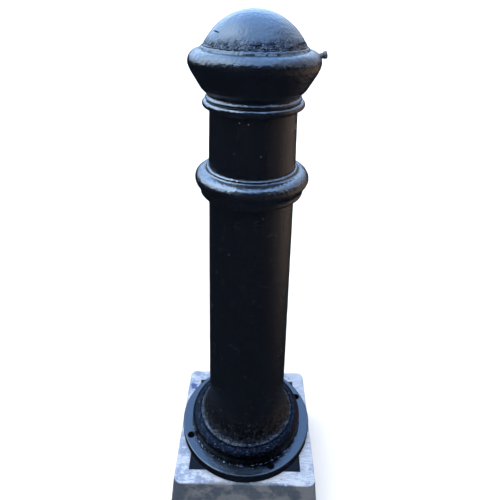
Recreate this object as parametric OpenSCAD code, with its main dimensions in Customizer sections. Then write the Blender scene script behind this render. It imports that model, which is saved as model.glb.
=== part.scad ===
// Cast iron street post on a square plinth. Sectional castings are stacked on a central tie rod,
// and a domed access cap is held in the head by a radial lock bolt.

/* [Post] */
// Height from the flange underside to the crown of the cap
post_height = 900; // [800:5:1200]
// Wall of the hollow castings
casting_wall = 12; // [8:0.5:14]
// Radial clearance of each register where one casting centres the next
register_gap = 0.3; // [0.2:0.05:0.5]
// Height of each register
register_height = 10; // [8:0.5:12]

/* [Plinth] */
// Height of the plinth
plinth_height = 200; // [140:5:400]
// Side of the square top face
plinth_side = 316; // [312:2:400]
// Outward slope of the four sides, in degrees from vertical
plinth_flare = 7.4; // [0:0.2:12]
// Radius of the upright corners
plinth_corner = 18; // [6:1:30]
// Wall of the hollow plinth
plinth_wall = 14; // [10:1:24]
// Thickness of the top rim that the flange rests on
plinth_rim = 22; // [16:1:40]
// Side of the square opening in the top
plinth_opening = 254; // [220:2:264]

/* [Base flange] */
// Diameter of the flange
flange_d = 310; // [300:1:312]
// Thickness of the flange
flange_t = 25; // [18:1:40]
// Rounding of the flange's edges
flange_round = 3; // [1:0.5:6]
// Bore of the flange, where a cable rises
flange_bore = 130; // [100:1:150]
// Diameter of the circle of bolt holes
bolt_circle = 282.5; // [278:0.5:286]
// Diameter of a bolt hole
bolt_hole = 17; // [11:0.5:20]
// Number of bolt holes
bolt_count = 4; // [3:1:8]
// Angle of the first bolt hole from +X
bolt_turn = 24; // [0:1:44]

/* [Base moulding] */
// Diameter of the round moulding on the flange
moulding_d = 261; // [256:1:264]
// Height of the moulding
moulding_h = 37; // [32:1:50]
// Radius of the moulding's rounded shoulder
moulding_round = 18.5; // [14:0.5:20]
// Width of the groove between the moulding and the bell
groove_w = 2.5; // [1.5:0.5:4]
// Depth of that groove
groove_depth = 4; // [3:0.5:6]
// Diameter of the screws that hold the moulding
moulding_screw = 8; // [6:1:10]

/* [Main shaft] */
// Height of the bell-shaped foot above the moulding
bell_h = 103; // [70:1:150]
// Diameter of the shaft where the bell begins
shaft_foot_d = 170.4; // [150:0.2:176]
// Diameter of the shaft under the collar
shaft_top_d = 143.4; // [138:0.2:150]

/* [Collar] */
// How far the collar's roll stands out from the wider of the two shafts
collar_overhang = 22.3; // [18:0.1:34]
// Height of the collar
collar_h = 48; // [46:1:60]
// Radius of the collar's upper roll
collar_roll = 14; // [10:0.5:16]
// Radius of the bead below the roll
collar_bead = 6; // [4:0.5:8]

/* [Upper shaft] */
// Height of the upper shaft that shows between collar and neck
upper_h = 88; // [60:1:200]
// Diameter of the upper shaft at the collar
upper_foot_d = 142.2; // [138:0.2:150]
// Diameter of the upper shaft at the neck
upper_top_d = 135; // [130:0.2:140]

/* [Neck ring] */
// Diameter of the neck ring at its bead
neck_d = 156; // [150:1:164]
// Height of the neck ring
neck_h = 21; // [18:1:30]
// Radius of the neck bead
neck_bead = 4.5; // [3:0.5:6]

/* [Head] */
// Diameter of the head at its rim
head_d = 193; // [186:1:210]
// Height of the head
head_h = 64; // [60:1:80]
// Rounding of the rim
rim_round = 16; // [12:0.5:18]
// Diameter of the socket for the cap
socket_d = 124.8; // [118:0.2:128]
// Depth of the socket, down to the ledge that carries the bridge
socket_depth = 47; // [45:1:50]

/* [Cap] */
// Diameter of the dome
cap_d = 148; // [140:1:152]
// Rise of the dome above the gasket
cap_rise = 45; // [30:1:60]
// Wall of the dome and of the spigot ring under it
cap_wall = 7; // [5:0.5:9]
// Length of the spigot that enters the socket
spigot_l = 29; // [24:1:32]
// Radial clearance of the spigot in the socket
spigot_gap = 0.4; // [0.3:0.05:0.8]
// Thickness of the gasket
gasket_t = 2; // [1:0.5:4]
// Length of the pry notch in the dome
notch_l = 40; // [20:1:50]
// Height of the pry notch
notch_h = 3; // [2:0.5:5]
// Depth of the pry notch
notch_depth = 3.6; // [2:0.2:4.5]
// Direction of the pry notch from +X
notch_turn = -21; // [-60:1:60]

/* [Lock bolt] */
// Diameter of the bolt's shank
lock_d = 8; // [6:1:10]
// Diameter of the bolt's head
lock_head_d = 10.4; // [9:0.2:16]
// Length of the bolt's head
lock_head_l = 5.5; // [4:0.5:8]
// Length of shank between the rim and the head
lock_reach = 4; // [2:0.5:10]
// Upward tilt of the bolt
lock_tilt = 15; // [0:1:20]
// Radial running clearance of the bolt in its bush
lock_gap = 0.05; // [0.02:0.01:0.1]
// Diameter of the bush
bush_d = 13; // [12:0.5:15]
// Length of the bush
bush_l = 23; // [16:1:24]

/* [Tie rod] */
// Diameter of the tie rod
rod_d = 20; // [16:1:24]
// Thickness of the top bridge
bridge_t = 12; // [8:1:14]
// Thickness of the base bar
base_bar_t = 14; // [10:1:24]
// Length of the base bar
base_bar_l = 200; // [170:2:220]
// Width of the bridge and of the base bar
bar_w = 40; // [36:1:44]
// Diameter of the washers
washer_d = 37; // [34:1:40]
// Thickness of the washers
washer_t = 3; // [2:0.5:5]
// Height of the nuts
nut_h = 16; // [12:1:18]
// Width of the nuts across flats
nut_af = 30; // [28:1:36]
// Rod that stands proud of each nut
rod_proud = 5; // [2:1:8]
// Radial clearance of the rod in nuts, washers and bars
rod_gap = 0.05; // [0.02:0.01:0.1]

/* [Dowels] */
// Diameter of the dowels that stop the castings turning on each other
dowel_d = 5; // [4:0.5:6]
// Length of a dowel
dowel_l = 22; // [18:1:24]

/* [Hidden] */
$fn = 96;
eps = 0.01;
black = [0.07, 0.09, 0.13];
steel = [0.62, 0.64, 0.66];

// Heights above the flange underside, from the foot up and from the crown down
moulding_z = flange_t;
groove_z = moulding_z + moulding_h;
foot_z = groove_z - groove_depth;
bell_z = groove_z + bell_h;
cap_z = post_height - cap_rise;
seat_z = cap_z - gasket_t;
head_z = seat_z - head_h;
neck_z = head_z - neck_h;
collar_top_z = neck_z - upper_h;
collar_z = collar_top_z - collar_h;
bridge_z = seat_z - socket_depth;

// Registers: each casting's outer register and the bore around it
foot_land = 14.5;
shaft_land = 5.7;
neck_land = 7.5;
foot_register_r = moulding_d / 2 - moulding_round - groove_w - foot_land;
shaft_register_r = shaft_top_d / 2 - shaft_land;
upper_register_r = upper_top_d / 2 - neck_land;
joint_r = min(shaft_register_r, upper_foot_d / 2);
shaft_bore_r = joint_r - casting_wall + 1;
web_bore_r = shaft_bore_r + 3;
upper_bore_r = upper_register_r - 8;
foot_bore_r = foot_register_r - casting_wall;
head_bore_r = upper_register_r - casting_wall;
collar_lap = 8;
shoulder_z = collar_z + collar_lap;
web_z = shoulder_z + register_height + 7;
web_t = 7;
upper_foot_z = web_z + web_t;
shaft_dowel_r = (web_bore_r + joint_r) / 2;
neck_dowel_r = (upper_bore_r + upper_register_r) / 2;

// Cap and socket
spigot_r = socket_d / 2 - spigot_gap;
spigot_bore = spigot_r - cap_wall;
dome_r = (pow(cap_d / 2, 2) + pow(cap_rise, 2)) / (2 * cap_rise);
dome_z = post_height - dome_r;
notch_rise = 4;
notch_z = cap_z + notch_rise;
notch_r = sqrt(pow(dome_r, 2) - pow(notch_z + notch_h / 2 - dome_z, 2)) - notch_depth;

// The rim's round, and the lock bolt's axis through it
rim_r = head_d / 2 - rim_round;
rim_z = seat_z - 3 - rim_round;
lock_start = lock_d / 2 * sin(lock_tilt) / cos(lock_tilt);
lock_in = (rim_r - socket_d / 2) * cos(lock_tilt);
lock_off = (rim_r - socket_d / 2) * sin(lock_tilt);
lock_exit = lock_in + sqrt(pow(rim_round, 2) - pow(lock_off, 2));
bush_start = 1.5;

// Tie rod, from the nut under the base bar to the nut on the bridge
rod_bottom_z = -base_bar_t - washer_t - nut_h - rod_proud;
rod_top_z = bridge_z + bridge_t + washer_t + nut_h + rod_proud;

// Screws that hold the moulding from under the flange
screw_circle_r = (foot_register_r + moulding_d / 2) / 2;
screw_grip = 18;
screw_head_h = moulding_screw / 2;

function arc(x, z, r, from, to, n = 10) =
    [for (i = [0:n]) let (a = from + (to - from) * i / n) [x + r * cos(a), z + r * sin(a)]];

// Concave quarter ellipse from the lip of the bell in and up to the shaft
function bell_curve(r_in, r_out, z_top, z_low, n = 14) =
    [for (i = [0:n]) let (a = 84 * (1 - i / n))
        [r_out - (r_out - r_in) * cos(a), z_top - (z_top - z_low) * sin(a)]];

module on_plinth() {
    translate([0, 0, plinth_height]) children();
}

module turned(points) {
    on_plinth() rotate_extrude() polygon(points);
}

module ring(outer, inner, low, high) {
    turned([[inner, low], [outer, low], [outer, high], [inner, high]]);
}

// Copies round the bolt circle's directions
module around(count, radius, turn) {
    for (i = [0:count - 1]) rotate(turn + 360 * i / count) translate([radius, 0, 0]) children();
}

// Upright hole or pin in the post's own heights
module upright(radius, low, high) {
    translate([0, 0, plinth_height + low]) cylinder(r = radius, h = high - low);
}

// Rod along the lock bolt's axis, measured from the socket's wall
module along_lock(radius, from, to) {
    on_plinth() translate([socket_d / 2, 0, rim_z]) rotate([0, 90 - lock_tilt, 0])
        translate([0, 0, from]) cylinder(r = radius, h = to - from);
}

module rounded_square(side, corner, z) {
    reach = side / 2 - corner;
    for (x = [-reach, reach], y = [-reach, reach])
        translate([x, y, z]) cylinder(r = corner, h = eps, $fn = 32);
}

module plinth() {
    spread = 2 * plinth_height * tan(plinth_flare);
    inner_top = plinth_side - 2 * plinth_wall + 2 * plinth_rim * tan(plinth_flare);
    color([0.42, 0.46, 0.5]) difference() {
        hull() {
            rounded_square(plinth_side, plinth_corner, plinth_height - eps);
            rounded_square(plinth_side + spread, plinth_corner, 0);
        }
        hull() {
            rounded_square(inner_top, plinth_corner - plinth_wall / 3, plinth_height - plinth_rim - eps);
            rounded_square(plinth_side + spread - 2 * plinth_wall, plinth_corner - plinth_wall / 3, -eps);
        }
        translate([-plinth_opening / 2, -plinth_opening / 2, plinth_height - 2 * plinth_rim])
            cube([plinth_opening, plinth_opening, 3 * plinth_rim]);
        around(bolt_count, bolt_circle / 2, bolt_turn)
            upright(bolt_hole / 2 + 1.5, -2 * plinth_rim, plinth_rim);
    }
}

module base_flange() {
    edge = flange_d / 2 - flange_round;
    color(black) difference() {
        turned(concat([[flange_bore / 2, 0]],
            arc(edge, flange_round, flange_round, -90, 0, 4),
            arc(edge, flange_t - flange_round, flange_round, 0, 90, 4),
            [[foot_register_r, flange_t], [foot_register_r, flange_t + register_height],
             [flange_bore / 2, flange_t + register_height]]));
        around(bolt_count, bolt_circle / 2, bolt_turn) upright(bolt_hole / 2, -1, flange_t + 1);
        around(4, screw_circle_r, bolt_turn + 45) {
            upright(moulding_screw / 2 + rod_gap, -1, flange_t + 1);
            upright(moulding_screw + rod_gap, -1, screw_head_h);
        }
    }
}

module moulding_screws() {
    color(steel) around(4, screw_circle_r, bolt_turn + 45) {
        upright(moulding_screw / 2, screw_head_h - eps, flange_t + screw_grip);
        upright(moulding_screw - 0.3, 0.3, screw_head_h);
    }
}

module base_moulding() {
    outer = moulding_d / 2;
    color(black) difference() {
        turned(concat([[foot_register_r + register_gap, moulding_z], [outer, moulding_z]],
            arc(outer - moulding_round, groove_z - moulding_round, moulding_round, 0, 90, 10),
            [[outer - moulding_round, foot_z], [foot_register_r + register_gap, foot_z]]));
        around(4, screw_circle_r, bolt_turn + 45)
            upright(moulding_screw / 2 + rod_gap, moulding_z - 1, flange_t + screw_grip + 1);
    }
}

module main_shaft() {
    lip_r = moulding_d / 2 - moulding_round - groove_w;
    top_r = shaft_top_d / 2;
    color(black) difference() {
        turned(concat([[foot_bore_r, foot_z - register_height], [foot_register_r, foot_z - register_height],
            [foot_register_r, foot_z], [lip_r, foot_z]],
            arc(lip_r - 1.5, groove_z, 1.5, 0, 80, 4),
            bell_curve(shaft_foot_d / 2, lip_r - 1, bell_z, groove_z + 1.5),
            [[top_r, shoulder_z], [shaft_register_r, shoulder_z],
             [shaft_register_r, shoulder_z + register_height + 6],
             [shaft_bore_r, shoulder_z + register_height + 6],
             [shaft_foot_d / 2 - casting_wall, bell_z]]));
        joint_pins(dowel_d / 2 + rod_gap, web_z + web_t / 2, shaft_dowel_r);
    }
}

module collar_ring() {
    bore = shaft_register_r + register_gap;
    skirt = shaft_top_d / 2 + register_gap + 0.4;
    seat = upper_foot_d / 2 + register_gap;
    roll_r = max(shaft_top_d, upper_foot_d) / 2 + collar_overhang - collar_roll;
    roll_z = collar_top_z - 20;
    bead_z = collar_z + collar_bead;
    color(black) difference() {
        turned(concat([[skirt, collar_z]],
            arc(roll_r, bead_z, collar_bead, -90, 45, 8),
            arc(roll_r, roll_z, collar_roll, -55, 90, 12),
            [[seat + 4.5, roll_z + collar_roll + 0.4], [seat + 1.4, collar_top_z - 2.5],
             [seat, collar_top_z], [seat, upper_foot_z], [web_bore_r, upper_foot_z],
             [web_bore_r, web_z], [bore, web_z], [bore, shoulder_z], [skirt, shoulder_z]]));
        joint_pins(dowel_d / 2 + rod_gap, web_z + web_t / 2, shaft_dowel_r);
    }
}

module upper_shaft() {
    foot_r = upper_foot_d / 2;
    color(black) difference() {
        turned([[web_bore_r, upper_foot_z], [foot_r, upper_foot_z], [foot_r, collar_top_z],
            [upper_top_d / 2, neck_z], [upper_register_r, neck_z],
            [upper_register_r, neck_z + register_height - 3], [upper_bore_r, neck_z + register_height - 3]]);
        joint_pins(dowel_d / 2 + rod_gap, web_z + web_t / 2, shaft_dowel_r);
        joint_pins(dowel_d / 2 + rod_gap, neck_z + neck_h / 2, neck_dowel_r);
    }
}

module neck_ring() {
    bead_r = neck_d / 2 - neck_bead;
    bead_z = neck_z + 7.5;
    color(black) turned(concat([[upper_register_r + register_gap, neck_z],
        [upper_top_d / 2 + 0.6, neck_z], [upper_top_d / 2 + 2.5, neck_z + 1.6]],
        arc(bead_r, bead_z, neck_bead, -110, 82, 12),
        [[bead_r - 0.2, bead_z + neck_bead + 0.9], [bead_r - 1, neck_z + 15.5],
         [upper_top_d / 2 + 3, head_z], [upper_register_r + register_gap, head_z]]));
}

module head_bowl() {
    foot_r = upper_top_d / 2 + 2.8;
    color(black) difference() {
        turned(concat([[head_bore_r, head_z - register_height], [upper_register_r, head_z - register_height],
            [upper_register_r, head_z], [foot_r, head_z], [foot_r + 0.8, head_z + 3],
            [foot_r + 4.7, head_z + 6], [foot_r + 8.7, head_z + 10], [head_d / 2 - 3.6, head_z + 33.5],
            [head_d / 2 - 1.2, head_z + 39]],
            arc(rim_r, rim_z, rim_round, -20, 90, 12),
            [[rim_r - 1.2, rim_z + rim_round + 0.1], [rim_r - 1.9, rim_z + rim_round - 0.7],
             [rim_r - 3, rim_z + rim_round - 0.4], [rim_r - 3.3, seat_z - 0.7],
             [rim_r - 4.2, seat_z], [socket_d / 2, seat_z],
             [socket_d / 2, bridge_z], [head_bore_r, bridge_z]]));
        along_lock(lock_d / 2 + 0.4, -2, lock_exit + 4);
        along_lock(bush_d / 2 + rod_gap, -4, bush_start + bush_l);
        joint_pins(dowel_d / 2 + rod_gap, neck_z + neck_h / 2, neck_dowel_r);
    }
}

module cap_gasket() {
    color([0.05, 0.05, 0.05]) ring(cap_d / 2 - 0.8, socket_d / 2, seat_z, cap_z);
}

module cap_dome() {
    inner = dome_r - cap_wall;
    color(black) difference() {
        turned(concat([[spigot_bore, cap_z]],
            arc(0, dome_z, dome_r, asin((cap_z - dome_z) / dome_r), 90, 14),
            arc(0, dome_z, inner, 90, acos(spigot_bore / inner), 10)));
        on_plinth() rotate(notch_turn) translate([notch_r, -notch_l / 2, notch_z])
            cube([cap_d, notch_l, notch_h]);
    }
}

module cap_spigot() {
    color(steel) ring(spigot_r, spigot_bore, cap_z - spigot_l, cap_z);
}

module lock_bush() {
    color([0.72, 0.6, 0.3]) difference() {
        along_lock(bush_d / 2, bush_start, bush_start + bush_l);
        along_lock(lock_d / 2 + lock_gap, 0, bush_start + bush_l + 1);
    }
}

module lock_bolt() {
    neck = lock_exit + lock_reach;
    color([0.2, 0.2, 0.22]) difference() {
        union() {
            along_lock(lock_d / 2, lock_start, neck + eps);
            along_lock(lock_head_d / 2, neck, neck + lock_head_l);
        }
        on_plinth() translate([socket_d / 2, 0, rim_z]) rotate([0, 90 - lock_tilt, 0])
            translate([-lock_head_d, -0.8, neck + lock_head_l - 2]) cube([2 * lock_head_d, 1.6, 4]);
    }
}

module tie_rod() {
    color(steel) upright(rod_d / 2, rod_bottom_z, rod_top_z);
}

module top_bridge() {
    color(steel) difference() {
        intersection() {
            upright(socket_d / 2 - register_gap, bridge_z, bridge_z + bridge_t);
            on_plinth() translate([-bar_w / 2, -socket_d / 2, bridge_z]) cube([bar_w, socket_d, bridge_t]);
        }
        upright(rod_d / 2 + rod_gap, bridge_z - 1, bridge_z + bridge_t + 1);
    }
}

module base_bar() {
    color(steel) difference() {
        on_plinth() translate([-bar_w / 2, -base_bar_l / 2, -base_bar_t])
            cube([bar_w, base_bar_l, base_bar_t]);
        upright(rod_d / 2 + rod_gap, -base_bar_t - 1, 1);
    }
}

module washer(z) {
    color(steel) ring(washer_d / 2, rod_d / 2 + rod_gap, z, z + washer_t);
}

module nut(z) {
    color(steel) difference() {
        translate([0, 0, plinth_height + z]) cylinder(d = nut_af / cos(30), h = nut_h, $fn = 6);
        upright(rod_d / 2 + rod_gap, z - 1, z + nut_h + 1);
    }
}

module top_washer() {
    washer(bridge_z + bridge_t);
}

module top_nut() {
    nut(bridge_z + bridge_t + washer_t);
}

module bottom_washer() {
    washer(-base_bar_t - washer_t);
}

module bottom_nut() {
    nut(-base_bar_t - washer_t - nut_h);
}

// Two dowels, or their holes, centred on a joint between castings
module joint_pins(radius, middle, circle) {
    around(2, circle, 90) upright(radius, middle - dowel_l / 2, middle + dowel_l / 2);
}

module joint_dowels() {
    color(steel) {
        joint_pins(dowel_d / 2, web_z + web_t / 2, shaft_dowel_r);
        joint_pins(dowel_d / 2, neck_z + neck_h / 2, neck_dowel_r);
    }
}

plinth();
base_flange();
moulding_screws();
base_moulding();
main_shaft();
collar_ring();
upper_shaft();
neck_ring();
head_bowl();
cap_gasket();
cap_dome();
cap_spigot();
lock_bush();
lock_bolt();
tie_rod();
top_bridge();
top_washer();
top_nut();
base_bar();
bottom_washer();
bottom_nut();
joint_dowels();
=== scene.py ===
# Looks for a cast iron street post on a square iron plinth. Lengths are in millimetres until they
# reach Blender, and heights are above the ground the plinth stands on.
import math
import bpy
from mathutils import Matrix, Vector, noise


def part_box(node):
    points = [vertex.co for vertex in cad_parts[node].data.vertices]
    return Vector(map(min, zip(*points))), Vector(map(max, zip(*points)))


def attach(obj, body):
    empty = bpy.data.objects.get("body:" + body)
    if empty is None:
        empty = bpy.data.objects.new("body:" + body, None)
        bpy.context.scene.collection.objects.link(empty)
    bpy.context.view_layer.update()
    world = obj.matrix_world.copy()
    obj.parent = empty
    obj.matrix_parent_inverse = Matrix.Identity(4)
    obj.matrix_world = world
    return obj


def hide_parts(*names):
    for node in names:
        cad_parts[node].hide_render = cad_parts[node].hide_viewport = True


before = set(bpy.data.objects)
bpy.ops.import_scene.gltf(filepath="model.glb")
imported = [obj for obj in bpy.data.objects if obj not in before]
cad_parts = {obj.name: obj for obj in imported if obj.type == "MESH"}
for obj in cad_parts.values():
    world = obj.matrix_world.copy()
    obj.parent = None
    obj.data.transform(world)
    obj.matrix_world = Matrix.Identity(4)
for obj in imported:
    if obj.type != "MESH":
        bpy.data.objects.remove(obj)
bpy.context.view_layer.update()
mm = 0.001
print("frame loaded:", len(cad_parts), "nodes")


def lowOf(node):
    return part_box(node)[0].z / mm


def highOf(node):
    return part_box(node)[1].z / mm


def reachOf(node):
    return max(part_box(node)[1].x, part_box(node)[1].y) / mm


def startClean():
    if bpy.context.mode != "OBJECT":
        bpy.ops.object.mode_set(mode="OBJECT")
    bpy.ops.object.select_all(action="DESELECT")


def workOn(piece):
    startClean()
    piece.select_set(True)
    bpy.context.view_layer.objects.active = piece


def arc(x, z, radius, start, end, steps):
    angles = [math.radians(start + (end - start) * i / steps) for i in range(steps + 1)]
    return [(x + radius * math.cos(a), z + radius * math.sin(a)) for a in angles]


def fine(points, step):
    # The same line with a point at least every step along it
    line = [points[0]]
    for (r0, z0), (r1, z1) in zip(points, points[1:]):
        parts = max(1, math.ceil(math.hypot(r1 - r0, z1 - z0) / step))
        line += [(r0 + (r1 - r0) * i / parts, z0 + (z1 - z0) * i / parts) for i in range(1, parts + 1)]
    return line


def turned(name, outline, sides):
    # Draws the half section as a chain of points, joins it up and spins it round the post's axis
    startClean()
    r0, z0 = outline[0]
    bpy.ops.mesh.primitive_plane_add(size=mm, location=(r0 * mm, 0, z0 * mm))
    piece = bpy.context.object
    piece.name = name
    bpy.ops.object.transform_apply(location=True, rotation=False, scale=False)
    bpy.ops.object.mode_set(mode="EDIT")
    bpy.ops.mesh.merge(type="CENTER")
    for (r0, z0), (r1, z1) in zip(outline, outline[1:] + outline[:1]):
        move = ((r1 - r0) * mm, 0, (z1 - z0) * mm)
        bpy.ops.mesh.extrude_vertices_move(TRANSFORM_OT_translate={"value": move})
    bpy.ops.mesh.select_all(action="SELECT")
    bpy.ops.mesh.spin(steps=sides, angle=math.tau, center=(0, 0, 0), axis=(0, 0, 1))
    bpy.ops.mesh.select_all(action="SELECT")
    bpy.ops.mesh.remove_doubles(threshold=0.02 * mm)
    bpy.ops.mesh.normals_make_consistent(inside=False)
    bpy.ops.object.mode_set(mode="OBJECT")
    return piece


def applyModifiers(piece):
    workOn(piece)
    for modifier in list(piece.modifiers):
        bpy.ops.object.modifier_apply(modifier=modifier.name)


def weigh(piece, name, rule):
    # A vertex group whose weight comes from a rule of radius and height in millimetres
    members = {}
    for v in piece.data.vertices:
        weight = round(min(1, rule(math.hypot(v.co.x, v.co.y) / mm, v.co.z / mm)), 2)
        members.setdefault(weight, []).append(v.index)
    group = piece.vertex_groups.new(name=name)
    for weight, indexes in members.items():
        if weight > 0:
            group.add(indexes, weight, "REPLACE")


def relief(piece, group, coats, middle=0.5, contrast=1.0):
    # Pushes a vertex group in and out with clouds. Each coat is the clouds' width and their depth.
    for width, depth in coats:
        texture = bpy.data.textures.new("clouds", "CLOUDS")
        texture.noise_scale = width * mm
        texture.contrast = contrast
        modifier = piece.modifiers.new("relief", "DISPLACE")
        modifier.texture = texture
        modifier.texture_coords = "LOCAL"
        modifier.strength = depth * mm
        modifier.mid_level = middle
        modifier.vertex_group = group
        applyModifiers(piece)


def combine(piece, other, operation="DIFFERENCE"):
    modifier = piece.modifiers.new("combine", "BOOLEAN")
    modifier.operation = operation
    modifier.solver = "EXACT"
    modifier.object = other
    applyModifiers(piece)
    bpy.data.objects.remove(other)


def cylinderAt(x, y, low, high, radius, sides):
    startClean()
    bpy.ops.mesh.primitive_cylinder_add(vertices=sides, radius=radius * mm, depth=(high - low) * mm,
                                        location=(x * mm, y * mm, (low + high) / 2 * mm))
    return bpy.context.object


def joined(pieces):
    # Makes one object of several that don't touch
    startClean()
    for piece in pieces:
        piece.select_set(True)
    bpy.context.view_layer.objects.active = pieces[0]
    bpy.ops.object.join()
    return pieces[0]


def holesAt(circle, turn, low, high, radius, sides=32):
    # Four upright cutters on a circle
    angles = [math.radians(turn + 90 * i) for i in range(4)]
    return [cylinderAt(circle * math.cos(a), circle * math.sin(a), low, high, radius, sides) for a in angles]


def cutBox(piece, where, size, turn=(0, 0, 0)):
    # Cuts a box away, with its middle, its sides and its turn given in millimetres and radians
    startClean()
    bpy.ops.mesh.primitive_cube_add(size=1, location=[v * mm for v in where], rotation=turn,
                                    scale=[v * mm for v in size])
    combine(piece, bpy.context.object)


def smoothShade(piece, angle):
    workOn(piece)
    bpy.ops.object.shade_smooth_by_angle(angle=math.radians(angle))


def placeOn(piece, body, slot, material, *nodes):
    piece.data.materials.clear()
    piece.data.materials.append(material)
    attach(piece, body)
    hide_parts(*nodes)


class Wire:
    # One socket of a shader tree. A sum written on it adds its Math node.
    def __init__(self, tree, socket):
        self.tree = tree
        self.socket = socket

    def maths(self, operation, first, second):
        node = self.tree.nodes.new("ShaderNodeMath")
        node.operation = operation
        plug(self.tree, node.inputs[0], first)
        plug(self.tree, node.inputs[1], second)
        return Wire(self.tree, node.outputs[0])

    def __add__(self, other):
        return self.maths("ADD", self, other)

    def __radd__(self, other):
        return self.maths("ADD", other, self)

    def __sub__(self, other):
        return self.maths("SUBTRACT", self, other)

    def __rsub__(self, other):
        return self.maths("SUBTRACT", other, self)

    def __mul__(self, other):
        return self.maths("MULTIPLY", self, other)

    def __rmul__(self, other):
        return self.maths("MULTIPLY", other, self)


def plug(tree, socket, value):
    if isinstance(value, Wire):
        tree.links.new(value.socket, socket)
    else:
        socket.default_value = value


class Shader:
    # A node tree under construction, with the place on the piece in metres as its usual input
    def __init__(self, owner):
        owner.use_nodes = True
        self.tree = owner.node_tree

    def node(self, kind, settings, values, output=0):
        node = self.tree.nodes.new(kind)
        for key, setting in settings.items():
            if key == "stops":
                while len(node.color_ramp.elements) < len(setting):
                    node.color_ramp.elements.new(1)
                for element, (position, colour) in zip(node.color_ramp.elements, setting):
                    element.position = position
                    element.color = (*colour, 1)
            else:
                setattr(node, key, setting)
        for key, value in values.items():
            plug(self.tree, node.inputs[key], value)
        return Wire(self.tree, node.outputs[output])

    def place(self):
        return self.node("ShaderNodeTexCoord", {}, {}, "Object")

    def axis(self, place, letter):
        return self.node("ShaderNodeSeparateXYZ", {}, {"Vector": place}, letter)

    def stretched(self, place, scale, turn=(0, 0, 0)):
        return self.node("ShaderNodeMapping", {}, {"Vector": place, "Scale": scale, "Rotation": turn})

    def noise(self, place, size, detail, rough=0.6):
        # size is the width of the blotches in millimetres
        values = {"Vector": place, "Scale": 1000 / size, "Detail": detail, "Roughness": rough}
        return self.node("ShaderNodeTexNoise", {}, values, "Fac")

    def patches(self, place, size, detail, rough, start, end):
        # 0 where the noise is under start, 1 where it is over end
        return self.ease(self.noise(place, size, detail, rough), start, end)

    def cells(self, place, size):
        # How far each place is from the middle of its cell
        return self.node("ShaderNodeTexVoronoi", {}, {"Vector": place, "Scale": 1000 / size}, "Distance")

    def ease(self, value, start, end, low=0.0, high=1.0):
        return self.node("ShaderNodeMapRange", {"interpolation_type": "SMOOTHSTEP"},
                         {"Value": value, "From Min": start, "From Max": end, "To Min": low, "To Max": high})

    def blend(self, factor, first, second):
        # Two colours, as wires or as red, green and blue
        first, second = [c if isinstance(c, Wire) else (*c, 1) for c in (first, second)]
        return self.node("ShaderNodeMix", {"data_type": "RGBA"}, {0: factor, 6: first, 7: second}, 2)

    def near(self, place, centre, reach):
        # 1 at a place given in millimetres, fading to 0 at its reach
        away = self.node("ShaderNodeVectorMath", {"operation": "DISTANCE"},
                         {0: place, 1: [v * mm for v in centre]}, "Value")
        return self.ease(away, reach * 0.4 * mm, reach * mm, 1.0, 0.0)

    def bump(self, height, distance):
        return self.node("ShaderNodeBump", {}, {"Height": height, "Distance": distance * mm, "Strength": 1.0})

    def finish(self, colour, roughness, normal, **fixed):
        # What varies is wired to the shader, and fixed numbers are set on its own sockets
        shader = self.tree.nodes["Principled BSDF"]
        plug(self.tree, shader.inputs["Base Color"], colour)
        plug(self.tree, shader.inputs["Roughness"], roughness)
        plug(self.tree, shader.inputs["Normal"], normal)
        for name, value in fixed.items():
            shader.inputs[name.replace("_", " ")].default_value = value


# Noises are given by width, detail and roughness, and patches also by where they start and where
# they are full. Widths, heights and depths are in millimetres.
paintLook = {
    "black": (0.0022, 0.0034, 0.0064),
    "worn": (0.008, 0.0095, 0.014),
    "rust": (0.095, 0.043, 0.018),
    "dust": (0.30, 0.32, 0.36),
    "sand": (0.070, 0.078, 0.094),
    "skin": (5, 2.5, 0.55),
    "fleck": (1.8, 3, 0.6), "fleckHeight": 0.08,
    "swell": (26, 3, 0.5), "swellHeight": 0.6,
    "brush": (5, 3, 0.6), "brushHeight": 0.03, "brushStretch": (1, 1, 0.12),
    "pits": (5.5, 0.10, 0.26), "pitDepth": 0.25,     # cell width, then floor and rim of a pit
    "pitted": (22, 2, 0.6, 0.52, 0.66),
    "specks": (9, 0.055, 0.085), "speckPlaces": (16, 2), "speckEdge": 0.03,
    "wornPatches": (14, 6, 0.75, 0.56, 0.78),
    "blotch": (9, 6, 0.7),
    "rustStart": (0.60, 0.74),     # where the blotches rust, moved by how rusty the piece is
    "rustMoves": (0.25, 0.2),
    "dabEdge": (0.50, 0.62), "mattEdge": (0.34, 0.46), "sandyEdge": (0.58, 0.38),
    "grains": (2.8, 2, 0.55), "grainHeight": 2.0, "grainTips": (0.56, 0.70),
    "chalkEdge": (0.52, 0.60), "chalkWaver": 8,
}


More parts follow.
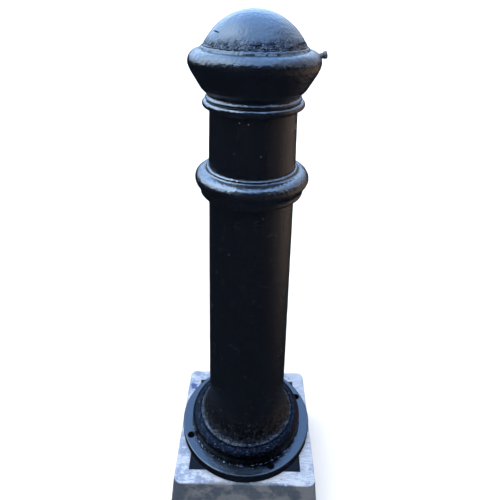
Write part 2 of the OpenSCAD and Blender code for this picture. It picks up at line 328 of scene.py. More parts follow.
def blackPaint(name, sand, gloss=0.2, rust=0.0, speck=0.62, dabs=(), matt=(), rough=None, chalk=None,
               shine=0.5):
    # Gloss paint over a sand cast skin, with sand for the height of its grains in millimetres.
    # dabs are rusty places and matt ones have lost their gloss, each as x, y, z and reach.
    # rough and chalk are pairs of heights: sandy or chalky up to the first, clean from the second.
    c = paintLook
    material = bpy.data.materials.new(name)
    s = Shader(material)
    place = s.place()
    z = s.axis(place, "Z")
    skin = s.noise(place, *c["skin"])
    fleck = s.noise(place, *c["fleck"])
    swell = s.noise(place, *c["swell"])
    brushed = s.noise(s.stretched(place, c["brushStretch"]), *c["brush"])
    cell, pitFloor, pitRim = c["pits"]
    pits = s.ease(s.cells(place, cell), pitFloor, pitRim, 1, 0) * s.patches(place, *c["pitted"])
    cell, start, end = c["specks"]
    specks = s.ease(s.cells(place, cell), start, end, 1, 0)
    specks = specks * s.ease(s.noise(place, *c["speckPlaces"]), speck, speck + c["speckEdge"])
    worn = s.patches(place, *c["wornPatches"])
    blotch = s.noise(place, *c["blotch"])
    start, end = [at - rust * move for at, move in zip(c["rustStart"], c["rustMoves"])]
    rusted = s.ease(blotch, start, end) * min(1, rust * 1.6)
    for x, y, height, reach in dabs:
        rusted = rusted + s.near(place, (x, y, height), reach) * s.ease(blotch, *c["dabEdge"])
    dull = specks * 0.5
    for x, y, height, reach in matt:
        dull = dull + s.near(place, (x, y, height), reach) * s.ease(blotch, *c["mattEdge"])
    colour = s.blend(worn * 0.8, c["black"], c["worn"])
    height = skin * sand + fleck * c["fleckHeight"] + swell * c["swellHeight"]
    height = height + brushed * c["brushHeight"] - pits * c["pitDepth"]
    if rough:
        grains = s.noise(place, *c["grains"])
        sandy = s.ease(z, rough[1] * mm, rough[0] * mm)
        height = height + sandy * grains * c["grainHeight"]
        colour = s.blend(sandy * s.ease(grains, *c["grainTips"]) * 0.7, colour, c["sand"])
        dull = dull + sandy * s.ease(blotch, *c["sandyEdge"], 0.25, 1.0)
    if chalk:
        waver = (skin - 0.5) * (c["chalkWaver"] * mm)
        chalky = s.ease(z + waver, chalk[1] * mm, chalk[0] * mm) * s.ease(blotch, *c["chalkEdge"])
        colour = s.blend(chalky * 0.55, colour, c["dust"])
    colour = s.blend(rusted, colour, c["rust"])
    colour = s.blend(specks, colour, c["dust"])
    roughness = gloss + (fleck - 0.5) * 0.12 + (swell - 0.5) * 0.12 + rusted * 0.35 + specks * 0.4
    # A black metallic base has almost no shine, which is how the matt places are made
    plug(s.tree, s.tree.nodes["Principled BSDF"].inputs["Metallic"], dull)
    s.finish(colour, roughness, s.bump(height, 1.0), Specular_IOR_Level=shine)
    return material


plinthLook = {
    "topEdge": (3.5, 2.0),            # how far below the top face the paleness starts and is full
    "front": (-0.1545, -0.1485),      # the same across the front edge, in metres
    "bow": 0.45,                      # how the front edge of the paleness curves
    "waver": (0.006, 0.014),
    # The top's colours are scoured iron made paler by painted light, and the sides' colours below are mottled
    # iron made darker by painted shade
    "pale": (0.42, 0.46, 0.53),
    "scoured": (0.26, 0.30, 0.37),
    "stain": (0.12, 0.15, 0.23),
    "spot": (0.004, 0.014, 0.08),
    "spots": [(-148, 108, 8), (-141, 107, 7), (-146, 100, 7), (-139, 99, 6)],
    "shadedDark": (0.036, 0.048, 0.068),
    "light": (0.096, 0.103, 0.115),
    "flecked": (0.15, 0.155, 0.165),
    "edge": (8, 4, 0.7),
    "blotch": (24, 6, 0.72),
    "fleck": (4, 5, 0.7),
    "strokes": (22, 4, 0.6), "strokeStretch": (1, 9, 1), "strokeTurn": -45,
    "mottle": (42, 7, 0.7, 0.44, 0.56),
    "grit": (2.5, 6, 0.7),
}


def plinthIron(name, top):
    # top is the height of the top face. The top is pale and scoured, and made paler still by painted light;
    # the sides are dark and mottled, and made darker still by painted shade.
    c = plinthLook
    material = bpy.data.materials.new(name)
    s = Shader(material)
    place = s.place()
    x, y, z = [s.axis(place, letter) for letter in "XYZ"]
    edge = s.noise(place, *c["edge"])
    start, end = [(top - drop) * mm for drop in c["topEdge"]]
    upward, inward = [(edge - 0.5) * waver for waver in c["waver"]]
    onTop = s.ease(z + upward, start, end)
    onTop = onTop * s.ease(y + inward + x * x * c["bow"], *c["front"])
    blotch = s.noise(place, *c["blotch"])
    fleck = s.noise(place, *c["fleck"])
    leftward = s.ease(x, 0.06, -0.14)
    stained = s.ease(blotch + leftward * 0.10 + (fleck - 0.5) * 0.3, 0.52, 0.66)
    turn = (0, 0, math.radians(c["strokeTurn"]))
    strokes = s.noise(s.stretched(place, c["strokeStretch"], turn), *c["strokes"])
    pale = s.blend(s.ease(strokes, 0.40, 0.62), c["scoured"], c["pale"])
    pale = s.blend(stained * 0.85, pale, c["stain"])
    for spotX, spotY, reach in c["spots"]:
        pale = s.blend(s.near(place, (spotX, spotY, top), reach), pale, c["spot"])
    mottled = s.patches(place, *c["mottle"])
    # The sides get the mottled iron, darkened further as painted shade
    shadedSide = s.blend(mottled, c["shadedDark"], c["light"])
    shadedSide = s.blend(s.ease(fleck, 0.52, 0.72) * 0.6, shadedSide, c["flecked"])
    # Painted light on the top face and painted shade on the sides, over the iron's own scouring and mottle
    colour = s.blend(onTop, shadedSide, pale)
    height = s.noise(place, *c["grit"]) * 0.22 + blotch * 0.5 + strokes * 0.12
    s.finish(colour, 0.52 + (fleck - 0.5) * 0.3, s.bump(height, 1.0))
    return material


metals = {
    "steel": {"clean": (0.46, 0.47, 0.48), "worn": (0.20, 0.19, 0.18), "metallic": 1.0, "gloss": 0.34,
              "scratch": 0.03},
    "brass": {"clean": (0.62, 0.44, 0.17), "worn": (0.25, 0.17, 0.07), "metallic": 1.0, "gloss": 0.3,
              "scratch": 0.02},
    "darkBolt": {"clean": (0.060, 0.052, 0.045), "worn": (0.10, 0.07, 0.05), "metallic": 0.4, "gloss": 0.55,
                 "scratch": 0.06},
}


def plainMetal(name):
    # Bare metal with a turned or rolled grain and darker handling marks
    c = metals[name]
    material = bpy.data.materials.new(name)
    s = Shader(material)
    place = s.place()
    marks = s.patches(place, 12, 6, 0.7, 0.45, 0.7)
    lines = s.noise(s.stretched(place, (1, 1, 14)), 9, 4)
    tint = s.blend(marks, c["clean"], c["worn"])
    height = lines * c["scratch"] + s.noise(place, 2, 5) * c["scratch"]
    roughness = c["gloss"] + (lines - 0.5) * 0.2 + marks * 0.15
    s.finish(tint, roughness, s.bump(height, 1.0), Metallic=c["metallic"])
    return material


def rubber(name):
    material = bpy.data.materials.new(name)
    s = Shader(material)
    place = s.place()
    bloom = s.patches(place, 10, 5, 0.7, 0.5, 0.75)
    tint = s.blend(bloom, (0.012, 0.012, 0.013), (0.04, 0.04, 0.042))
    s.finish(tint, 0.6 + bloom * 0.15, s.bump(s.noise(place, 1.2, 4), 0.08))
    return material


plinthSizes = {
    "top": 316,       # side of the top face
    "corner": 18, "innerCorner": 13,
    "wall": 14,
    "rim": 22,        # thickness of the top
    "opening": 254,
    "cuts": 84, "innerCuts": 12,    # grids that the rough skin and the inner corners are worked on
    "notch": 10,      # relief under each flange hole
    "holeCircle": 282.5,
    "holeTurn": 24,
    "wear": (1.0, 1.2),    # of the top arris, on average and either way
    "skin": [(30, 1.1), (6, 0.7)], "skinMiddle": 0.62,
}


def taperedBlock(name, top, foot, low, high, cuts=0):
    startClean()
    bpy.ops.mesh.primitive_cube_add(size=1, location=(0, 0, (low + high) / 2 * mm),
                                    scale=(top * mm, top * mm, (high - low) * mm))
    block = bpy.context.object
    block.name = name
    bpy.ops.object.transform_apply(location=True, rotation=False, scale=True)
    bpy.ops.object.mode_set(mode="EDIT")
    bpy.ops.mesh.select_all(action="DESELECT")
    bpy.ops.object.mode_set(mode="OBJECT")
    middle = (low + high) / 2 * mm
    for v in block.data.vertices:
        v.select = v.co.z < middle
    bpy.ops.object.mode_set(mode="EDIT")
    bpy.ops.mesh.select_mode(type="VERT")
    bpy.ops.transform.resize(value=(foot / top, foot / top, 1), center_override=(0, 0, low * mm))
    bpy.ops.mesh.select_all(action="SELECT")
    if cuts:
        bpy.ops.mesh.subdivide(number_cuts=cuts)
    bpy.ops.object.mode_set(mode="OBJECT")
    return block


def roundCorners(block, top, foot, low, high, corner):
    # Draws the four upright corners of a subdivided block onto arcs, level by level
    for v in block.data.vertices:
        half = (foot + (top - foot) * (v.co.z / mm - low) / (high - low)) / 2
        inner = (half - corner) * mm
        dx, dy = abs(v.co.x) - inner, abs(v.co.y) - inner
        if dx > 0 and dy > 0:
            pull = max(dx, dy) / math.hypot(dx, dy)
            v.co.x = math.copysign(inner + dx * pull, v.co.x)
            v.co.y = math.copysign(inner + dy * pull, v.co.y)


def wearArris(block, top, height):
    # Rubs down the edge round the top face
    average, varies = plinthSizes["wear"]
    edge = top / 2 - 0.1
    for v in block.data.vertices:
        if v.co.z / mm > height - 0.1 and max(abs(v.co.x), abs(v.co.y)) / mm > edge:
            wear = average + varies * noise.noise(v.co * 60)
            v.co.x *= 1 - wear / top
            v.co.y *= 1 - wear / top
            v.co.z -= wear * mm


def makePlinth():
    c = plinthSizes
    top, foot, height = c["top"], 2 * reachOf("plinth"), highOf("plinth")
    block = taperedBlock("plinthBlock", top, foot, 0, height, c["cuts"])
    roundCorners(block, top, foot, 0, height, c["corner"])
    wearArris(block, top, height)
    weigh(block, "skin", lambda r, z: z > 0.5)
    relief(block, "skin", c["skin"], c["skinMiddle"])
    slope = (foot - top) / 2 / height
    under = height - c["rim"]
    innerTop = top - 2 * c["wall"] + 2 * c["rim"] * slope
    innerFoot = foot - 2 * c["wall"]
    inner = taperedBlock("inner", innerTop, innerFoot, -1, under, c["innerCuts"])
    roundCorners(inner, innerTop, innerFoot, -1, under, c["innerCorner"])
    combine(block, inner)
    mouth = taperedBlock("mouth", c["opening"], c["opening"], under - 20, height + 20)
    for notch in holesAt(c["holeCircle"] / 2, c["holeTurn"], under - 21, height + 21, c["notch"]):
        combine(mouth, notch, "UNION")
    combine(block, mouth)
    smoothShade(block, 35)
    block.visible_glossy = False   # its pale top would show in the bell of the shaft
    placeOn(block, "post", "plinth_iron", plinthIron("plinthIron", height), "plinth")


# Each painted piece keeps its paint's settings under "paint", and under "skin" the clouds that
# roughen its casting, as widths and depths.
flangeSizes = {
    "bore": 65, "boreFace": 30,
    "round": 3,
    "spigot": 95,      # register that centres the moulding
    "spigotHeight": 10, "spigotFace": 26,
    "thickness": 25,
    "hole": 8.5,
    "screw": 4.05,
    "screwHead": 8.05, "screwHeadDepth": 4,
    "screwCircle": 112.75,
    "skin": [(22, 0.7), (3.2, 0.35)],
    "skinFrom": 120,
    "paint": {"sand": 0.5, "gloss": 0.22,
              "matt": [(20, -125, 225, 16), (44, -121, 225, 18), (66, -112, 225, 14), (80, -100, 225, 12)]},
}


def makeFlange():
    c = flangeSizes
    low = highOf("plinth")
    top = low + c["thickness"]
    spigotTop = top + c["spigotHeight"]
    edge = reachOf("base_flange") - c["round"]
    outline = [(c["bore"], low), (c["bore"] + c["boreFace"], low)]
    outline += arc(edge, low + c["round"], c["round"], -90, 0, 4)
    outline += fine([(edge + c["round"], low + c["round"]), (edge + c["round"], top - c["round"])], 3)
    outline += arc(edge, top - c["round"], c["round"], 0, 90, 5)
    outline += fine([(edge, top), (c["spigot"] + c["spigotFace"], top)], 2.2)
    outline += [(c["spigot"], top), (c["spigot"], spigotTop), (c["bore"], spigotTop)]
    flange = turned("baseFlange", outline, 360)
    weigh(flange, "skin", lambda r, z: r > c["skinFrom"] and z > low + 1)
    relief(flange, "skin", c["skin"])
    turn, screwTurn = plinthSizes["holeTurn"], plinthSizes["holeTurn"] + 45
    seat = low + c["screwHeadDepth"]
    holes = holesAt(plinthSizes["holeCircle"] / 2, turn, low - 5, top + 5, c["hole"], 48)
    holes += holesAt(c["screwCircle"], screwTurn, seat - 0.1, top + 5, c["screw"])
    combine(flange, joined(holes))
    combine(flange, joined(holesAt(c["screwCircle"], screwTurn, low - 5, seat, c["screwHead"])))
    smoothShade(flange, 35)
    placeOn(flange, "post", "black_paint", blackPaint("flangePaint", **c["paint"]), "base_flange")


mouldingSizes = {
    "round": 18.5,
    "grooveDepth": 4,
    "bore": 95.3,
    "seam": 1.8,       # width of the ragged bead of paint at the foot
    "skin": [(3.5, 0.5)],
    "seamChips": [(4.5, 2.4)], "seamContrast": 3.0,
    "paint": {"sand": 0.9, "rust": 0.15, "rough": (300, 900), "chalk": (227.5, 230),
              "matt": [(0, 0, 240, 330)]},
}


def makeMoulding():
    c = mouldingSizes
    low, top = lowOf("base_moulding"), highOf("base_moulding")
    outer = reachOf("base_moulding")
    seam, floor = c["seam"], top - c["grooveDepth"]
    shoulder = outer - c["round"]
    outline = [(c["bore"], low), (outer - 4, low)]
    outline += fine([(outer + seam, low), (outer + seam * 0.9, low + 0.9), (outer + 0.3, low + 1.8),
                     (outer, low + 3.0), (outer, top - c["round"])], 0.9)
    outline += fine(arc(shoulder, top - c["round"], c["round"], 0, 90, 14), 1.6)
    outline += [(shoulder - 0.3, top - 0.8), (shoulder - 0.3, floor), (c["bore"], floor)]
    moulding = turned("baseMoulding", outline, 420)
    weigh(moulding, "skin", lambda r, z: r > shoulder - 1 and z > low + 0.1)
    weigh(moulding, "seam", lambda r, z: r > outer - 0.5 and low + 0.1 < z < low + 5)
    relief(moulding, "skin", c["skin"])
    relief(moulding, "seam", c["seamChips"], contrast=c["seamContrast"])
    smoothShade(moulding, 50)
    placeOn(moulding, "post", "black_paint", blackPaint("mouldingPaint", **c["paint"]), "base_moulding")


shaftSizes = {
    "bellTop": 85.2,    # radius where the bell ends
    "bellHeight": 103,
    "lip": 1.5,
    "register": 95, "registerDepth": 4,
    "footBore": 83,
    "shaftTop": 71.7,
    "shoulderRise": 8,  # how far the shaft goes up inside the collar
    "topRegister": 66,
    "topRegisterHeight": 16,
    "topBore": 55,
    "wall": 12,
    "skin": [(45, 0.7), (4, 0.3)],
    "bellSkin": [(3.2, 0.8)],
    "bellFade": 10,     # how far out of the shaft the bell's skin comes to its full depth
    "paint": {"sand": 1.0, "gloss": 0.24, "rough": (272, 350)},
}


def bellCurve(inner, outer, top, low, steps):
    # Quarter ellipse from the lip of the bell in and up to the shaft
    angles = [math.radians(84 * (1 - i / steps)) for i in range(steps + 1)]
    return [(outer - (outer - inner) * math.cos(a), top - (top - low) * math.sin(a)) for a in angles]


def makeShaft():
    c = shaftSizes
    groove = highOf("base_moulding")
    floor = groove - c["registerDepth"]
    foot = lowOf("main_shaft")
    lip = reachOf("main_shaft")
    bellTop = groove + c["bellHeight"]
    shoulder = lowOf("collar_ring") + c["shoulderRise"]
    end = shoulder + c["topRegisterHeight"]
    outline = [(c["footBore"], foot), (c["register"], foot), (c["register"], floor), (lip, floor)]
    outline += arc(lip - c["lip"], groove, c["lip"], 0, 80, 4)
    outline += fine(bellCurve(c["bellTop"], lip - 1, bellTop, groove + c["lip"], 24), 2.4)
    outline += fine([(c["bellTop"], bellTop), (c["shaftTop"], shoulder)], 2.6)[1:]
    outline += [(c["topRegister"], shoulder), (c["topRegister"], end), (c["topBore"], end),
                (c["bellTop"] - c["wall"], bellTop)]
    shaft = turned("mainShaft", outline, 300)
    outside = c["shaftTop"] - 0.5
    weigh(shaft, "skin", lambda r, z: r > outside and groove - 2 < z < shoulder - 1)
    weigh(shaft, "bell", lambda r, z: (r - c["bellTop"]) / c["bellFade"] if z > groove + 0.5 else 0)
    relief(shaft, "skin", c["skin"])
    relief(shaft, "bell", c["bellSkin"])
    smoothShade(shaft, 50)
    placeOn(shaft, "post", "black_paint", blackPaint("shaftPaint", **c["paint"]), "main_shaft")


collarSizes = {
    "skirt": 72.4, "skirtHeight": 8,     # bore round the shaft's shoulder
    "beadAt": 80, "bead": 6,
    "roll": 14, "rollDrop": 20,
    "bore": 66.3,
    "seat": 71.4,       # bore round the upper shaft
    "fillet": 4.1,      # of paint, round the upper shaft
    "web": 7, "webBore": 58, "webRise": 25,
    "skin": [(18, 0.9), (3, 0.5)],
    "paint": {"sand": 1.2, "rust": 0.1, "shine": 0.95,
              "dabs": [(58, -66, 875, 11), (70, -52, 873, 9)]},
}


def makeCollar():
    c = collarSizes
    low, top = lowOf("collar_ring"), highOf("collar_ring")
    web = low + c["webRise"]
    webTop, skirtTop = web + c["web"], low + c["skirtHeight"]
    rollZ = top - c["rollDrop"]
    rollTop = rollZ + c["roll"]
    outline = [(c["skirt"], low)]
    outline += arc(c["beadAt"], low + c["bead"], c["bead"], -90, 22, 8)
    outline += fine(arc(c["beadAt"], rollZ, c["roll"], -55, 90, 16), 1.6)
    outline += [(c["seat"] + 6, rollTop + 0.2), (c["seat"] + 4.6, rollTop + 1.2)]
    outline += arc(c["seat"] + 0.2, top - 4.2, c["fillet"], 10, 86, 8)
    outline += [(c["seat"], top), (c["seat"], webTop), (c["webBore"], webTop), (c["webBore"], web),
                (c["bore"], web), (c["bore"], skirtTop), (c["skirt"], skirtTop)]
    collar = turned("collarRing", outline, 360)
    weigh(collar, "skin", lambda r, z: r > c["seat"] + 0.2)
    relief(collar, "skin", c["skin"])
    smoothShade(collar, 50)
    placeOn(collar, "post", "black_paint", blackPaint("collarPaint", **c["paint"]), "collar_ring")


drumSizes = {
    "bore": 58,
    "top": 67.5,
    "register": 60, "registerHeight": 7, "registerBore": 52,
    "skin": [(40, 0.5), (3.5, 0.25)],
    "paint": {"sand": 0.9, "gloss": 0.23, "speck": 0.58, "dabs": [(65, -28, 885, 12), (64, -27, 950, 9)]},
}


def makeUpperShaft():
    c = drumSizes
    low, foot = lowOf("upper_shaft"), reachOf("upper_shaft")
    visible = highOf("collar_ring")
    neck = lowOf("neck_ring")
    end = neck + c["registerHeight"]
    outline = [(c["bore"], low), (foot, low)]
    outline += fine([(foot, visible - 2), (c["top"], neck)], 2.4)
    outline += [(c["register"], neck), (c["register"], end), (c["registerBore"], end)]
    drum = turned("upperShaft", outline, 300)
    weigh(drum, "skin", lambda r, z: r > c["top"] - 1 and z < neck - 1)
    relief(drum, "skin", c["skin"])
    smoothShade(drum, 50)
    placeOn(drum, "post", "black_paint", blackPaint("drumPaint", **c["paint"]), "upper_shaft")


neckSizes = {
    "bore": 60.3,
    "shaft": 67.5,
    "bead": 5.5, "beadRise": 9,
    "groove": 0.7,      # depth of the dark groove between the bead and the lip above it
    "skin": [(3.4, 0.5)],
    "paint": {"sand": 1.0, "rust": 0.1, "shine": 0.95},
}


def makeNeck():
    c = neckSizes
    low, top = lowOf("neck_ring"), highOf("neck_ring")
    beadAt = reachOf("neck_ring") - c["bead"]
    beadZ = low + c["beadRise"]
    grooveAt = beadAt - c["groove"]
    outline = [(c["bore"], low), (c["shaft"] + 0.6, low), (c["shaft"] + 2.5, low + 1.6)]
    outline += arc(beadAt, beadZ, c["bead"], -100, 88, 20)
    outline += fine([(grooveAt, beadZ + c["bead"] + 0.4), (grooveAt, top - 4.2), (beadAt + 0.8, top - 3.5),
                     (beadAt + 0.3, top - 2.4), (c["shaft"] + 3.3, top)], 1)
    outline += [(c["bore"], top)]
    neck = turned("neckRing", outline, 330)
    weigh(neck, "skin", lambda r, z: r > c["shaft"] + 2)
    relief(neck, "skin", c["skin"])
    smoothShade(neck, 50)
    placeOn(neck, "post", "black_paint", blackPaint("neckPaint", **c["paint"]), "neck_ring")


headSizes = {
    "foot": 70.3,
    "flare": [(0, 0), (0.8, 3), (4.7, 6), (8.7, 10)],    # out and up from the foot
    "register": 60, "registerHeight": 10, "bore": 48,
    "socket": 62.4, "socketDepth": 47,
    "round": 16, "roundDrop": 19,
    # Ridge of paint inside the rim, as the way in from the round's middle and the way up from the top
    "ridge": [(1.2, -2.8), (1.9, -2.6), (2.7, -0.6), (3.6, 0.8), (4.8, 1.4), (5.5, 1.0), (5.8, -0.6)],
    "skin": [(24, 0.8), (3, 0.45)],
    "ridgeChips": [(5, 0.9)], "ridgeContrast": 2.0, "ridgeMiddle": 0.55,
    "lockTilt": 15,
    "lockHoles": [(4.4, -2, 45), (6.55, -4, 24.5)],      # radius, start and end for the bolt and its bush
    "paint": {"sand": 1.1, "dabs": [(57, -49, 1055, 10), (68, -34, 1055, 10), (81, -51, 1034, 14),
                                    (92, -20, 1030, 10)]},
}


def makeHead():
    c = headSizes
    top, outer = highOf("head_bowl"), reachOf("head_bowl")
    low = highOf("neck_ring")
    foot, end = c["foot"], low - c["registerHeight"]
    rimR, rimZ = outer - c["round"], top - c["roundDrop"]
    ledge = top - c["socketDepth"]
    outline = [(c["bore"], end), (c["register"], end), (c["register"], low)]
    outline += fine([(foot + away, low + rise) for away, rise in c["flare"]]
                    + [(outer - 3.6, low + 33.5), (outer - 1.2, low + 39)], 2)
    outline += fine(arc(rimR, rimZ, c["round"], -20, 90, 18), 1.6)
    outline += [(rimR - away, top + rise) for away, rise in c["ridge"]]
    outline += [(c["socket"], top), (c["socket"], ledge), (c["bore"], ledge)]
    head = turned("headBowl", outline, 360)
    weigh(head, "skin", lambda r, z: r > foot + 0.2 and z > low and (z < top - 6 or r > 74))
    relief(head, "skin", c["skin"])
    weigh(head, "ridge", lambda r, z: rimR - 5.3 < r < rimR and z > top - 2)
    relief(head, "ridge", c["ridgeChips"], c["ridgeMiddle"], c["ridgeContrast"])
    lockHole(head, rimZ)
    smoothShade(head, 50)
    placeOn(head, "post", "black_paint", blackPaint("headPaint", **c["paint"]), "head_bowl")


def lockHole(head, rimZ):
    # Clears the lock bolt and its bush
    c = headSizes
    tilt = math.radians(c["lockTilt"])
    for radius, start, end in c["lockHoles"]:
        startClean()
        middle = (start + end) / 2
        where = ((c["socket"] + middle * math.cos(tilt)) * mm, 0, (rimZ + middle * math.sin(tilt)) * mm)
        bpy.ops.mesh.primitive_cylinder_add(vertices=40, radius=radius * mm, depth=(end - start) * mm,
                                            location=where, rotation=(0, math.pi / 2 - tilt, 0))
        combine(head, bpy.context.object)


domeSizes = {
    "wall": 7,
    "bore": 55,
    "notchTurn": -21, "notchLength": 40, "notchHeight": 3, "notchRise": 4, "notchDepth": 3.6,
    "scratch": [(-54.3, -27.7, 1073.2), (-48.2, -38.8, 1072.3)],
    "scratchBox": (15, 1.9, 5),
    "skin": [(35, 0.7), (11, 0.35), (3, 0.22)], "skinMiddle": 0.6,
    "chipped": 14,      # height of the chipped paint at the foot
    "footChips": [(5, 1.1)], "footContrast": 2.5, "footMiddle": 0.65,
    "paint": {"sand": 0.85, "gloss": 0.25, "rough": (1060, 1073),
              "dabs": [(58, -43, 1058, 13), (66, -33, 1057, 11)]},
}


def makeDome():
    c = domeSizes
    low, top, edge = lowOf("cap_dome"), highOf("cap_dome"), reachOf("cap_dome")
    rise = top - low
    radius = (edge ** 2 + rise ** 2) / (2 * rise)
    centre = top - radius
    start = math.degrees(math.asin((low - centre) / radius))
    inner = radius - c["wall"]
    outline = [(c["bore"], low), (edge - 2, low)]
    outline += fine(arc(0, centre, radius, start, 90, 40), 2)
    outline += arc(0, centre, inner, 90, math.degrees(math.acos(c["bore"] / inner)), 14)
    dome = turned("capDome", outline, 300)
    foot, chipped = low + 0.2, c["chipped"]
    weigh(dome, "skin", lambda r, z: math.hypot(r, z - centre) > radius - 1 and z > foot)
    weigh(dome, "foot", lambda r, z: 1 - (z - low) / chipped if foot < z < low + chipped else 0)
    relief(dome, "skin", c["skin"], c["skinMiddle"])
    relief(dome, "foot", c["footChips"], c["footMiddle"], c["footContrast"])
    cutNotch(dome, low, radius, centre)
    cutScratch(dome, centre)
    smoothShade(dome, 40)
    placeOn(dome, "cap", "black_paint", blackPaint("domePaint", **c["paint"]), "cap_dome")


def cutNotch(dome, low, radius, centre):
    # A level slot in the dome's side, just above its foot
    c = domeSizes
    length, height = c["notchLength"], c["notchHeight"]
    z = low + c["notchRise"] + height / 2
    out = math.sqrt(radius ** 2 - (z - centre) ** 2) - c["notchDepth"] + 20
    turn = math.radians(c["notchTurn"])
    cutBox(dome, (out * math.cos(turn), out * math.sin(turn), z), (40, length, height), (0, 0, turn))


def cutScratch(dome, centre):
    start, end = [Vector(v) for v in domeSizes["scratch"]]
    middle = (start + end) / 2
    along, out = (end - start).normalized(), (middle - Vector((0, 0, centre))).normalized()
    turn = Matrix((along, out.cross(along), out)).transposed().to_euler()
    cutBox(dome, middle, domeSizes["scratchBox"], turn)


lockSizes = {
    "shank": 4, "head": 5.2, "headLength": 5.5,
    "neckAt": 36.8,   # from the socket's wall to the underside of the bolt's head
    "slot": (20, 1.6, 4),
    "scale": [(2.5, 0.25)],
}


def makeLockBolt():
    c = lockSizes
    neck, end = c["neckAt"], c["neckAt"] + c["headLength"]
    shank, headR = c["shank"], c["head"]
    outline = [(0, 0.9), (shank - 0.8, 0.9), (shank, 1.8)]
    outline += fine([(shank, 1.8), (shank, neck - 0.6)], 1.5)[1:]
    outline += [(shank + 0.5, neck), (headR - 0.4, neck + 0.1), (headR, neck + 0.7)]
    outline += fine([(headR, neck + 0.7), (headR, end - 1.0)], 1)[1:]
    outline += [(headR - 0.9, end), (0, end)]
    bolt = turned("lockBolt", outline, 48)
    cutBox(bolt, (0, 0, end), c["slot"])
    relief(bolt, "", c["scale"])
    rimZ = highOf("head_bowl") - headSizes["roundDrop"]
    bolt.matrix_world = (Matrix.Translation((headSizes["socket"] * mm, 0, rimZ * mm))
                         @ Matrix.Rotation(math.radians(90 - headSizes["lockTilt"]), 4, "Y"))
    workOn(bolt)
    bpy.ops.object.transform_apply(location=True, rotation=True, scale=True)
    smoothShade(bolt, 40)
    placeOn(bolt, "lock", "dark_bolt", plainMetal("darkBolt"), "lock_bolt")


def finishKept():
    steel = plainMetal("steel")
    brass = plainMetal("brass")
    gasket = rubber("gasketRubber")
    kept = {
        "cap_gasket": gasket, "lock_bush": brass, "cap_spigot": steel, "moulding_screws": steel,
        "tie_rod": steel, "top_bridge": steel, "top_washer": steel, "top_nut": steel, "base_bar": steel,
        "bottom_washer": steel, "bottom_nut": steel, "joint_dowels": steel,
    }
    for name, material in kept.items():
        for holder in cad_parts[name].material_slots:
            holder.material = material


floorLook = {
    "radius": 8,                                                 # in metres, as the sweep is
    "sweep": [(9.5, 0.3), (10.6, 1.0), (11.2, 2.2), (11.4, 9)],  # how the edge goes out and up
    "pale": ((0.80, 0.80, 0.80), (0.83, 0.83, 0.83)),
    # The colour of the painted shade on the ground inside the plinth, and below, where that painted shade
    # starts and is full
    "shadedDark": (0.02, 0.025, 0.035),
    "shadeReach": (0.166, 0.155),     # where the dark ground inside the plinth starts and is full
}


def makeFloor():
    # A round pale floor whose edge sweeps up into the backdrop, with painted shade on the ground inside the
    # plinth
    c = floorLook
    startClean()
    radius, height = c["radius"], 0
    bpy.ops.mesh.primitive_circle_add(vertices=96, radius=radius, fill_type="NGON", location=(0, 0, 0))
    floor = bpy.context.object
    floor.name = "floor"
    bpy.ops.object.mode_set(mode="EDIT")
    bpy.ops.mesh.select_all(action="SELECT")
    for reach, rise in c["sweep"]:
        bpy.ops.mesh.extrude_edges_move(TRANSFORM_OT_translate={"value": (0, 0, rise - height)})
        bpy.ops.transform.resize(value=(reach / radius, reach / radius, 1), center_override=(0, 0, rise))
        radius, height = reach, rise
    bpy.ops.object.mode_set(mode="OBJECT")
    material = bpy.data.materials.new("paleFloor")
    s = Shader(material)
    place = s.place()
    tint = s.blend(s.noise(place, 400, 2), *c["pale"])
    x, y = s.axis(place, "X"), s.axis(place, "Y")
    start, end = [reach ** 2 for reach in c["shadeReach"]]
    # Painted shade: the floor darkens inside the plinth's footprint
    tint = s.blend(s.ease(x * x + y * y, start, end), tint, c["shadedDark"])
    s.finish(tint, 0.9, s.bump(s.noise(place, 3, 2), 0.02))
    floor.data.materials.append(material)
    floor.visible_glossy = False
    floor.visible_shadow = False


lightLook = {
    "sun": 4.4,           # even light from above, which sets how pale the floor is
    "sunTurn": (14, -12, 0),
    "sunSpread": 70,
    "skyStrength": 12.0,  # what the gloss paint mirrors
    "back": [
        (0.00, (0.0005, 0.0007, 0.001)), (0.47, (0.001, 0.0015, 0.002)), (0.54, (0.03, 0.04, 0.055)),
        (0.60, (0.17, 0.24, 0.36)), (0.78, (0.165, 0.27, 0.43)), (0.90, (0.13, 0.26, 0.56)),
    ],
    "high": (0.20, 0.36, 0.68),
    "left": (0.50, 0.70, 0.98),
    "farLeft": (0.24, 0.28, 0.34),
    "right": (0.085, 0.095, 0.12),
    "below": (0.001, 0.0013, 0.002),
    "earth": (0.052, 0.039, 0.031),
}


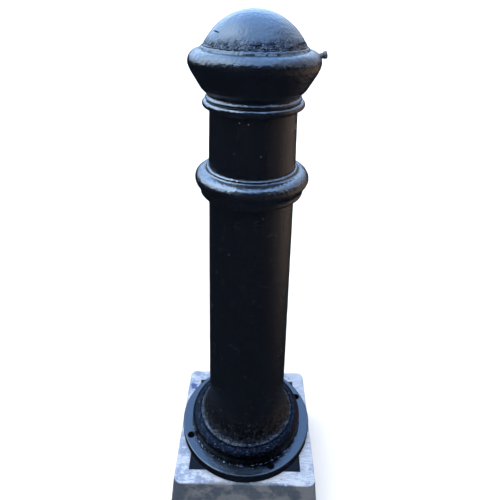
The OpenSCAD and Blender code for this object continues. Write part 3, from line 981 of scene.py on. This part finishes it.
def makeSky():
    # Seen only in reflections: cool and bright above and behind, dark below and in front
    c = lightLook
    world = bpy.data.worlds.new("softSky")
    bpy.context.scene.world = world
    s = Shader(world)
    way = s.node("ShaderNodeTexCoord", {}, {}, "Generated")
    x, y, z = [s.axis(way, letter) for letter in "XYZ"]
    back = s.node("ShaderNodeValToRGB", {"stops": c["back"]}, {"Fac": z * 0.5 + 0.5}, "Color")
    sky = s.blend(s.ease(y, 0.65, 0.15), back, c["high"])
    sky = s.blend(s.ease(x, -0.1, -0.55) * s.ease(y, 0.75, 0.1), sky, c["left"])
    sky = s.blend(s.ease(x, -0.6, -0.95) * 0.7, sky, c["farLeft"])
    sky = s.blend(s.ease(x, 0.2, 0.75) * 0.9, sky, c["right"])
    sky = s.blend(s.ease(x, 0.05, 0.3) * s.ease(z, 0.52, 0.30) * 0.75, sky, c["right"])
    above = s.ease(z - s.ease(y, 0.25, -0.5) * 0.36, 0.0, 0.22)
    sky = s.blend(above, c["below"], sky)
    warm = s.ease(x, 0.45, 0.85) * s.ease(z, 0.15, -0.1) * s.ease(z, -0.75, -0.35)
    warm = warm * s.ease(y, -0.45, 0.1, 0.3)
    sky = s.blend(warm, sky, c["earth"])
    ground = s.tree.nodes["Background"]
    plug(s.tree, ground.inputs["Color"], sky)
    ground.inputs["Strength"].default_value = c["skyStrength"]
    world.cycles_visibility.diffuse = False


flagSizes = {
    "width": 800,
    "top": (-355, 1330),    # how far in front and how high the upper edge is
    "foot": (-900, 0),
    "cloth": (0.01, 0.01, 0.012, 1),
}


def makeFlag():
    # A black card in front of the post, seen only in reflections
    c = flagSizes
    (topY, topZ), (footY, footZ) = c["top"], c["foot"]
    startClean()
    height = math.hypot(topY - footY, topZ - footZ)
    lean = math.atan2(topZ - footZ, topY - footY)
    middle = (0, (topY + footY) / 2 * mm, (topZ + footZ) / 2 * mm)
    bpy.ops.mesh.primitive_plane_add(size=1, location=middle, rotation=(lean, 0, 0))
    card = bpy.context.object
    card.name = "blackFlag"
    card.scale = (c["width"] * mm, height * mm, 1)
    material = bpy.data.materials.new("flagCloth")
    s = Shader(material)
    s.finish(c["cloth"], 0.9, s.bump(s.noise(s.place(), 3, 2), 0.1))
    card.data.materials.append(material)
    for ray in ("camera", "diffuse", "transmission", "shadow"):
        setattr(card, "visible_" + ray, False)


def makeLights():
    c = lightLook
    startClean()
    bpy.ops.object.light_add(type="SUN", rotation=[math.radians(turn) for turn in c["sunTurn"]])
    sun = bpy.context.object
    sun.name = "softTop"
    sun.data.energy = c["sun"]
    sun.data.angle = math.radians(c["sunSpread"])
    sun.visible_glossy = False


cameraLook = {
    "place": (0, -640.9, 1117.0),
    "down": 32.277,
    "roll": 1.390,
    "lens": 29.32,
    "sensor": 36,
}


def makeCamera():
    c = cameraLook
    data = bpy.data.cameras.new("camera")
    data.lens = c["lens"]
    data.sensor_width = c["sensor"]
    camera = bpy.data.objects.new("camera", data)
    bpy.context.collection.objects.link(camera)
    tilt = Matrix.Rotation(math.radians(90 - c["down"]), 4, "X")
    roll = Matrix.Rotation(math.radians(c["roll"]), 4, "Z")
    camera.matrix_world = Matrix.Translation(Vector(c["place"]) * mm) @ tilt @ roll
    bpy.context.scene.camera = camera


makeCamera()
makeFloor()
makeSky()
makeFlag()
makeLights()
print("stage ready")
makePlinth()
print("plinth ready")
makeFlange()
makeMoulding()
makeShaft()
print("base and shaft ready")
makeCollar()
makeUpperShaft()
makeNeck()
print("collar, drum and neck ready")
makeHead()
makeDome()
makeLockBolt()
print("head, cap and lock ready")
finishKept()
bpy.context.scene.view_settings.view_transform = "Standard"
